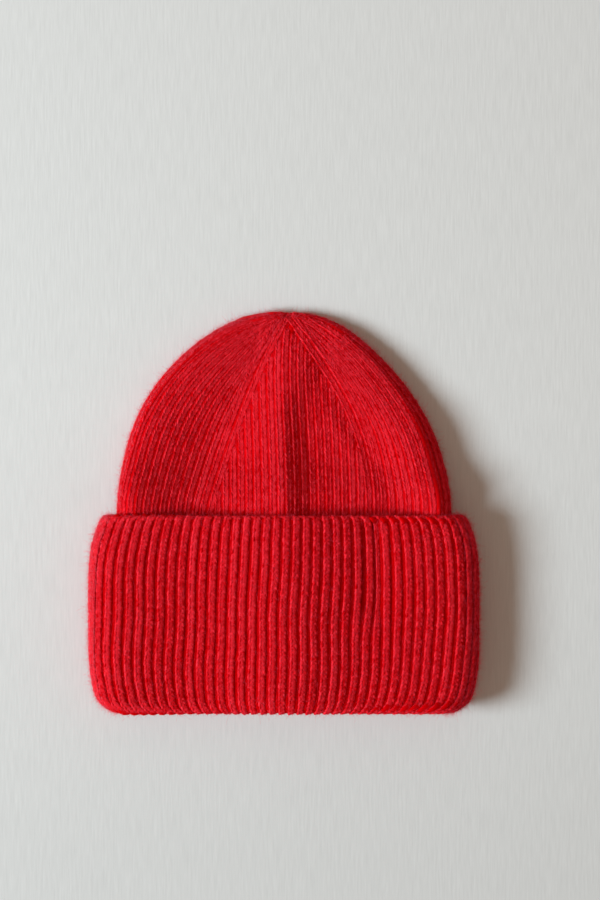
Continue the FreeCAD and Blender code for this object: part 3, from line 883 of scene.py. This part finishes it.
OUTLINE_INSET = 3  # body ribs this near to the outline, and cuff ribs within twice this, have a halo
BODY_KNIT = Knit((0.16, 0.34), 0.14, 0.14, 1.6, 5, 6, -0.03)
HIDDEN_KNIT = Knit((0.16, 0.34), 0.14, 0.14, 1.5, 4, 5, 0.0)
CUFF_KNIT = Knit((0.10, 0.23), 0.15, 0.11, 1.6, 5, 6, 0.03)


def rib_middle(rib):
    """The height of the body's middle where a rib is half way along."""
    return body_rise(rib.middle[1])[1]


def make_body():
    """Crown and body, panel by panel: stitches, the cords behind them, and loose fibres.

    Up to seen along a rib the cuff hides it, so its stitches are plainer there and have no fibres.
    """
    ribs = body_ribs()
    seen = int((CUFF_TOP - TUBE_START - 4) / BODY_ROW) * BODY_ROW
    behind = {word: (Shell(), Shell()) for word in ("front", "back", "right", "left")}
    halos = {"left": Shell(), "right": Shell()}
    for node in sorted({rib.node for rib in ribs}):
        face, hidden, hair = Shell(), Shell(), Shell()
        cords, grooves = behind[node.split("_")[0]]
        for rib in (r for r in ribs if r.node == node):
            stitches(hidden, rib, HIDDEN_KNIT, 0, seen)
            stitches(face, rib, BODY_KNIT, seen, rib.length)
            share = BODY_HAIRS if rib.middle[2] > rib_middle(rib) else UNDER_HAIRS
            wide, aside = 0.4 * rib.pitch, 0.5 * rib.pitch
            cord(cords, rib, 0, rib.length, 1.3, wide, 0.95)
            cord(grooves, rib, 0, rib.length, 1.7, wide, 1.0, BODY_ROW, aside)
            fibres(hair, rib, share, BODY_FUZZ, seen, rib.length)
            if inset(rib.middle[0], rib.middle[1]) < OUTLINE_INSET:
                halo = halos["right" if rib.middle[0] > 0 else "left"]
                fibres(halo, rib, HALO_HAIRS, HALO_FUZZ, seen, rib.length)
        place_piece(face, f"{node}_stitches", crown_wool, "hat", [node])
        place_piece(hidden, f"{node}_lower_stitches", crown_wool, "hat")
        place_piece(hair, f"{node}_fibres", fuzz, "hat")
    for word, (cords, grooves) in behind.items():
        place_piece(cords, f"body_{word}_cords", crown_wool, "hat")
        # the grooves' darker yarn is painted shade
        place_piece(grooves, f"body_{word}_grooves", shaded_groove_wool, "hat")
    # Painted highlight: the left halo, on the lit side, gets the paler fibres, and the right one keeps
    # the wool's own colour.
    for word, material in (("left", highlight_fuzz), ("right", crown_wool)):
        place_piece(halos[word], f"crown_{word}_halo", material, "hat")


def core_ring(y, depth, count):
    """A ring round the body at one Y, this deep inside its face."""
    width = (TUBE_WIDTH - depth) * np.sqrt(1 - share_up(y) ** 2)
    turn = np.arange(count) / count * 2 * math.pi
    x = np.sign(np.sin(turn)) * width * (1 - (1 - np.abs(np.sin(turn))) ** 1.5)
    at = np.full(count, y)
    top, under = body_height(x, at, 1) - depth, body_height(x, at, -1) + depth
    middle = (top + under) / 2
    top, under = np.maximum(top, middle), np.minimum(under, middle)
    return lean(np.stack([x, at, np.where(np.cos(turn) >= 0, top, under)], -1))


def make_core():
    """The thin layer of yarn behind the ribs, closed at the tip and open at the brim."""
    count, depth, wall = 160, 2.4, 0.7
    places = np.linspace(TIP - 1.6, TUBE_START + 1.0, 110)
    outer = [core_ring(y, depth, count) for y in places]
    inner = [core_ring(y - wall, depth + wall, count) for y in places[:-1]]
    rings = outer + inner[::-1]
    points = np.concatenate(rings + [rings[0].mean(axis=0, keepdims=True),
                                     rings[-1].mean(axis=0, keepdims=True)])
    shell = Shell()
    faces = strand_faces(len(rings), count)
    shell.add(points[None], faces, np.full((1, len(points), 3), 0.4))
    # the backing's darker yarn is painted shade
    place_piece(shell, "body_backing", shaded_groove_wool, "hat")


def make_cuff():
    """The cuff's stitches, cords and fibres."""
    quarters = {}
    behind = {"front": (Shell(), Shell()), "back": (Shell(), Shell())}
    halos = {"left": Shell(), "right": Shell()}
    for rib in cuff_ribs():
        side = "front" if rib.middle[2] > CUFF_RISE else "back"
        word = "right" if rib.middle[0] > 0 else "left"
        face, hair = quarters.setdefault(f"{side}_{word}", (Shell(), Shell()))
        stitches(face, rib, CUFF_KNIT, 0, rib.length)
        cords, grooves = behind[side]
        cord(cords, rib, 0, rib.length, 1.25, 0.31 * rib.pitch, 1.1)
        rest = smooth(9, 18, rib.along) * smooth(rib.length - 16, rib.length - 26, rib.along)
        deep = 1.9 + 0.75 * rest
        wide, aside = 0.4 * rib.pitch, 0.5 * rib.pitch
        cord(grooves, rib, 1, rib.length - 1, deep, wide, 1.1, CUFF_ROW / 2, aside)
        share = CUFF_HAIRS if side == "front" else UNDER_HAIRS
        fibres(hair, rib, share, CUFF_FUZZ, 6, rib.length - 3)
        if abs(rib.middle[0]) > CUFF_WIDTH - 2 * OUTLINE_INSET:
            fibres(halos[word], rib, HALO_HAIRS, HALO_FUZZ, 6, rib.length - 3)
    nodes = {"front_left": ["cuff_band"], "back_left": ["brim_fold"]}
    for name, (face, hair) in quarters.items():
        held = nodes.get(name, ())
        place_piece(face, f"cuff_{name}_stitches", cuff_wool, "cuff", held)
        place_piece(hair, f"cuff_{name}_fibres", fuzz, "cuff")
    for side, (cords, grooves) in behind.items():
        place_piece(cords, f"cuff_{side}_cords", cuff_wool, "cuff")
        # the cuff grooves' still darker yarn is painted shade
        place_piece(grooves, f"cuff_{side}_grooves", deep_shade_wool, "cuff")
    # Painted highlight: the left halo, on the lit side, gets the paler fibres, and the right one keeps
    # the wool's own colour.
    for word, material in (("left", highlight_fuzz), ("right", cuff_wool)):
        place_piece(halos[word], f"cuff_{word}_halo", material, "cuff")


# --- the sewing: seams, gathered tip, cast-on edge and label ---


def make_cast_on():
    """A loop of yarn over every groove at the cuff's free edge."""
    shell = Shell()
    span = np.linspace(-0.42, 0.42, 6)
    lip = CUFF_WALL / 2
    for number in range(CUFF_RIBS):
        around = (number + 0.5 - CUFF_RIBS // 2 + span) * CUFF_PITCH
        around = (around + CUFF_HALF_ROUND) % (2 * CUFF_HALF_ROUND) - CUFF_HALF_ROUND
        tilt = math.pi * (0.5 + 0.12 * np.sin(number * 2.4))
        y = CUFF_TOP - lip + (lip - 1.3) * math.sin(tilt) + 0.5 * np.cos(span * 3.4)
        points = cuff_point(around, y, lip + (lip - 1.3) * math.cos(tilt))
        forward = unit(np.gradient(points, axis=0))
        out = np.tile([0.0, 1.0, 0.0], (len(span), 1))
        across = unit(np.cross(forward, out))
        thick = np.full((1, len(span)), 0.85)
        add_strands(shell, points[None], across[None], out[None], thick, thick, 6, 3.0)
    place_piece(shell, "cast_on_loops", cuff_wool, "cuff", ["cast_on_edge"])


def make_cuff_seam():
    """The small cross stitches that close the cuff's sunken column."""
    shell = Shell()
    step = np.linspace(-0.5, 0.5, 5)
    rows = np.arange(SEAM_SHOWS + 2, CUFF_TOP - 4, CUFF_ROW)
    for row, place in enumerate(rows):
        reach = CUFF_PITCH * 0.5 * (1 if row % 2 else -1)
        y = place + step * CUFF_ROW * 1.1
        around = SEAM_PLACE + step * reach
        points = cuff_point(around, y, 3.0)
        out = np.tile([0.0, 0.0, 1.0], (len(step), 1))
        across = unit(np.cross(unit(np.gradient(points, axis=0)), out))
        thick = np.full((1, len(step)), 0.5)
        add_strands(shell, points[None], across[None], out[None], thick, thick, 6, 3.0)
    place_piece(shell, "cuff_seam_stitches", cuff_wool, "cuff", ["cuff_seam"])


def make_body_seam():
    """The seam's ridge inside the body, under the front right narrowing line."""
    low, high = box_mm("body_seam")
    rows = np.arange(low[1] + 1, high[1] - 1, 0.7)
    lines = [band_line(e, rows, 1, 1) for e in (0, -TINY, TINY)]
    sink = np.full(len(rows), KNIT_WALL + 0.7)
    rib = Rib(lines, BODY_PITCH, BODY_ROW, "body_seam", 1.0, None, sink)
    shell = Shell()
    cord(shell, rib, 0, rib.length, 0.3, 1.6, 0.8)
    stitches(shell, rib, BODY_KNIT, 0, rib.length)
    place_piece(shell, "body_seam_ridge", crown_wool, "hat", ["body_seam"])


def make_gather_yarn():
    """The drawn yarn over the flat tip."""
    low, high = box_mm("crown_gather_yarn")
    x = np.linspace(low[0] + 2.2, high[0] - 2.2, 90)
    y = TIP - 1.7 - 0.6 * (x / 11) ** 2 + 0.35 * np.sin(x * 1.1)
    z = (low[2] + high[2]) / 2 + 1.5 * np.cos(x * 0.9)
    shell = Shell()
    twist(shell, lean(np.stack([x, y, z], -1)), 0.45, 9)
    place_piece(shell, "gather_yarn", crown_wool, "hat", ["crown_gather_yarn"])


def make_tip_loops():
    """The last stitches, drawn together in a row at the flat tip."""
    loops = Shell()
    for place in np.linspace(-10.5, 10.5, 11):
        turn = np.linspace(-0.62, 0.62, 9) * math.pi
        reach = 5.0 - 0.012 * place**2
        x = place * (0.86 + 0.14 * np.cos(turn)) + 0.5 * np.sin(turn)
        y = TIP - 1.2 - 0.015 * place**2 - reach * (1 - np.cos(turn))
        z = TIP_RISE + CROWN_CLEAR + 2.3 * np.sin(turn)
        path = lean(np.stack([x, y, z], -1))
        side = np.tile([1.0, 0.0, 0.0], (9, 1))
        out = unit(np.cross(unit(np.gradient(path, axis=0)), side))
        thick = np.full((1, 9), 1.25)
        add_strands(loops, path[None], side[None], out[None], thick, thick * 0.8, 8, 4.0)
    place_piece(loops, "tip_loops", crown_wool, "hat")


def make_gather_knot():
    """The drawn yarn's knot and tail, inside the tip."""
    low, high = box_mm("gather_knot")
    middle = (low + high) / 2
    turn = np.linspace(0, 2 * math.pi, 80)
    knot = np.stack([np.sin(turn) + 2 * np.sin(2 * turn), np.cos(turn) - 2 * np.cos(2 * turn),
                     -np.sin(3 * turn)], -1) * 0.36
    shell = Shell()
    twist(shell, knot + [middle[0], high[1] - 1.6, middle[2]], 0.2, 9)
    along = np.linspace(0, 1, 50)
    tail = np.stack([0.7 * np.sin(5 * along), high[1] - 2.5 - along * (high[1] - low[1] - 3.2),
                     middle[2] + 0.5 * np.sin(4 * along)], -1)
    twist(shell, tail, 0.28, 8)
    place_piece(shell, "gather_yarn_knot", crown_wool, "hat", ["gather_knot"])


def ribbon(low, high, wave):
    """A thin closed ribbon: its two ends folded under, and a slow wave along it."""
    across, along, thick = 12, 60, 0.16
    x = np.linspace(low[0] + 0.2, high[0] - 0.2, across)
    y = np.linspace(low[1] + 0.2, high[1] - 0.2, along)
    gx, gy = np.meshgrid(x, y)
    middle = (low[2] + high[2]) / 2
    gz = middle + wave * np.sin((gy - low[1]) / 5.2) * smooth(high[1] - 2, high[1] - 12, gy)
    hem = 0.06 * (smooth(low[1] + 2.4, low[1] + 2.0, gy) + smooth(high[1] - 2.4, high[1] - 2.0, gy))
    top = np.stack([gx, gy, gz + thick / 2 + hem], -1).reshape(-1, 3)
    under = np.stack([gx, gy, gz - thick / 2], -1).reshape(-1, 3)
    faces = []
    for j in range(along - 1):
        for i in range(across - 1):
            a = j * across + i
            faces.append((a, a + 1, a + across + 1, a + across))
    size = across * along
    faces += [(d + size, c + size, b + size, a + size) for a, b, c, d in faces]
    rim = [*range(across), *range(2 * across - 1, size, across)]
    rim += [*range(size - 2, size - across - 1, -1), *range(size - 2 * across, 0, -across)]
    for a, b in zip(rim, rim[1:] + rim[:1]):
        faces.append((b, a, a + size, b + size))
    return np.concatenate([top, under]), np.array(faces)


def satin():
    """Off-white woven ribbon: fine cross threads and a soft lengthwise shine."""
    material, tree, shader = new_material("label_satin", 0.45)
    set_inputs(shader, {"Anisotropic": 0.5, "Sheen Weight": 0.2})
    place = add_node(tree, "ShaderNodeTexCoord")
    weave = add_node(tree, "ShaderNodeTexWave", Scale=700.0, Distortion=0.4)
    weave.bands_direction = "Y"
    tree.links.new(place.outputs["Object"], weave.inputs["Vector"])
    add_bump(tree, shader, weave.outputs["Fac"], 0.3, 0.0001)
    dark, light = (0.7, 0.68, 0.64), (0.84, 0.82, 0.78)
    colour = add_ramp(tree, weave.outputs["Fac"], (0, dark), (1, light))
    tree.links.new(colour, shader.inputs["Base Color"])
    return material


def thread():
    """Fine matte sewing thread."""
    material, tree, shader = new_material("label_thread", 0.6)
    place = add_node(tree, "ShaderNodeTexCoord")
    noise = add_node(tree, "ShaderNodeTexNoise", Scale=3000.0)
    tree.links.new(place.outputs["Object"], noise.inputs["Vector"])
    dark, light = (0.6, 0.58, 0.54), (0.76, 0.74, 0.7)
    colour = add_ramp(tree, noise.outputs["Fac"], (0, dark), (1, light))
    tree.links.new(colour, shader.inputs["Base Color"])
    return material


def make_label():
    """The blank care label and the five stitches that hold its end."""
    low, high = box_mm("care_label")
    points, faces = ribbon(low, high, 0.1)
    shell = Shell()
    shell.add(points[None], faces, np.full((1, len(points), 3), 0.5))
    label = place_piece(shell, "care_label_ribbon", satin(), "label", ["care_label"])
    low, high = box_mm("label_stitches")
    shell = Shell()
    half, points = 1.3, 24
    for place in np.linspace(low[0] + 1.6, high[0] - 1.6, 5):
        x = place + np.linspace(-half, half, points)
        y = np.full(points, (low[1] + high[1]) / 2)
        z = low[2] + 0.15 * np.cos((x - place) / half * math.pi / 2) - 0.02
        twist(shell, np.stack([x, y, z], -1), 0.09, 3)
    place_piece(shell, "label_stitch_threads", thread(), "label", ["label_stitches"])


# --- floor, light and camera ---


def make_stage():
    """A plain pale cloth under the hat."""
    mesh = bpy.data.meshes.new("table")
    half = 3.0
    mesh.from_pydata([(-half, -half, 0), (half, -half, 0), (half, half, 0), (-half, half, 0)],
                     [], [(0, 1, 2, 3)])
    floor = bpy.data.objects.new("table", mesh)
    floor.location.z = -0.0003
    mesh.materials.append(canvas())
    scene.collection.objects.link(floor)


def area_light(name, place, target, size, power, colour):
    """A soft lamp that looks at a point."""
    data = bpy.data.lights.new(name, "AREA")
    data.shape, data.size, data.energy, data.color = "DISK", size, power, colour
    lamp = bpy.data.objects.new(name, data)
    lamp.location = place
    lamp.rotation_euler = (Vector(target) - Vector(place)).to_track_quat("-Z", "Y").to_euler()
    scene.collection.objects.link(lamp)


def make_lights():
    """Window light from the left and a little below, with a warm, dim surround."""
    away, height_angle, side_angle = 3.4, math.radians(35), math.radians(9)
    flat = away * math.cos(height_angle)
    place = (-flat * math.cos(side_angle), -flat * math.sin(side_angle), away * math.sin(height_angle))
    area_light("window", place, (0, 0, 0), 1.4, 160.0, (0.838, 0.952, 1.0))
    world = bpy.data.worlds.new("surround")
    world.use_nodes = True
    background = world.node_tree.nodes["Background"]
    set_inputs(background, {"Color": (1.0, 0.75, 0.58, 1), "Strength": 0.33})
    scene.world = world


def make_camera():
    """Straight above, with the hat a little left of and below the middle of the picture."""
    data = bpy.data.cameras.new("camera")
    data.sensor_fit = "VERTICAL"
    data.sensor_height = 36.0
    height, view = 1.0, 0.495  # above the table, and how much of it the picture's height shows
    data.lens = data.sensor_height * (height - CUFF_RISE * MM) / view
    camera = bpy.data.objects.new("camera", data)
    camera.location = (0.0088, 0.0341, height)
    scene.collection.objects.link(camera)
    scene.camera = camera


make_body()
make_core()
make_cuff()
make_cast_on()
make_cuff_seam()
make_body_seam()
make_gather_yarn()
make_tip_loops()
make_gather_knot()
make_label()
make_stage()
make_lights()
make_camera()
scene.view_settings.view_transform = "Standard"
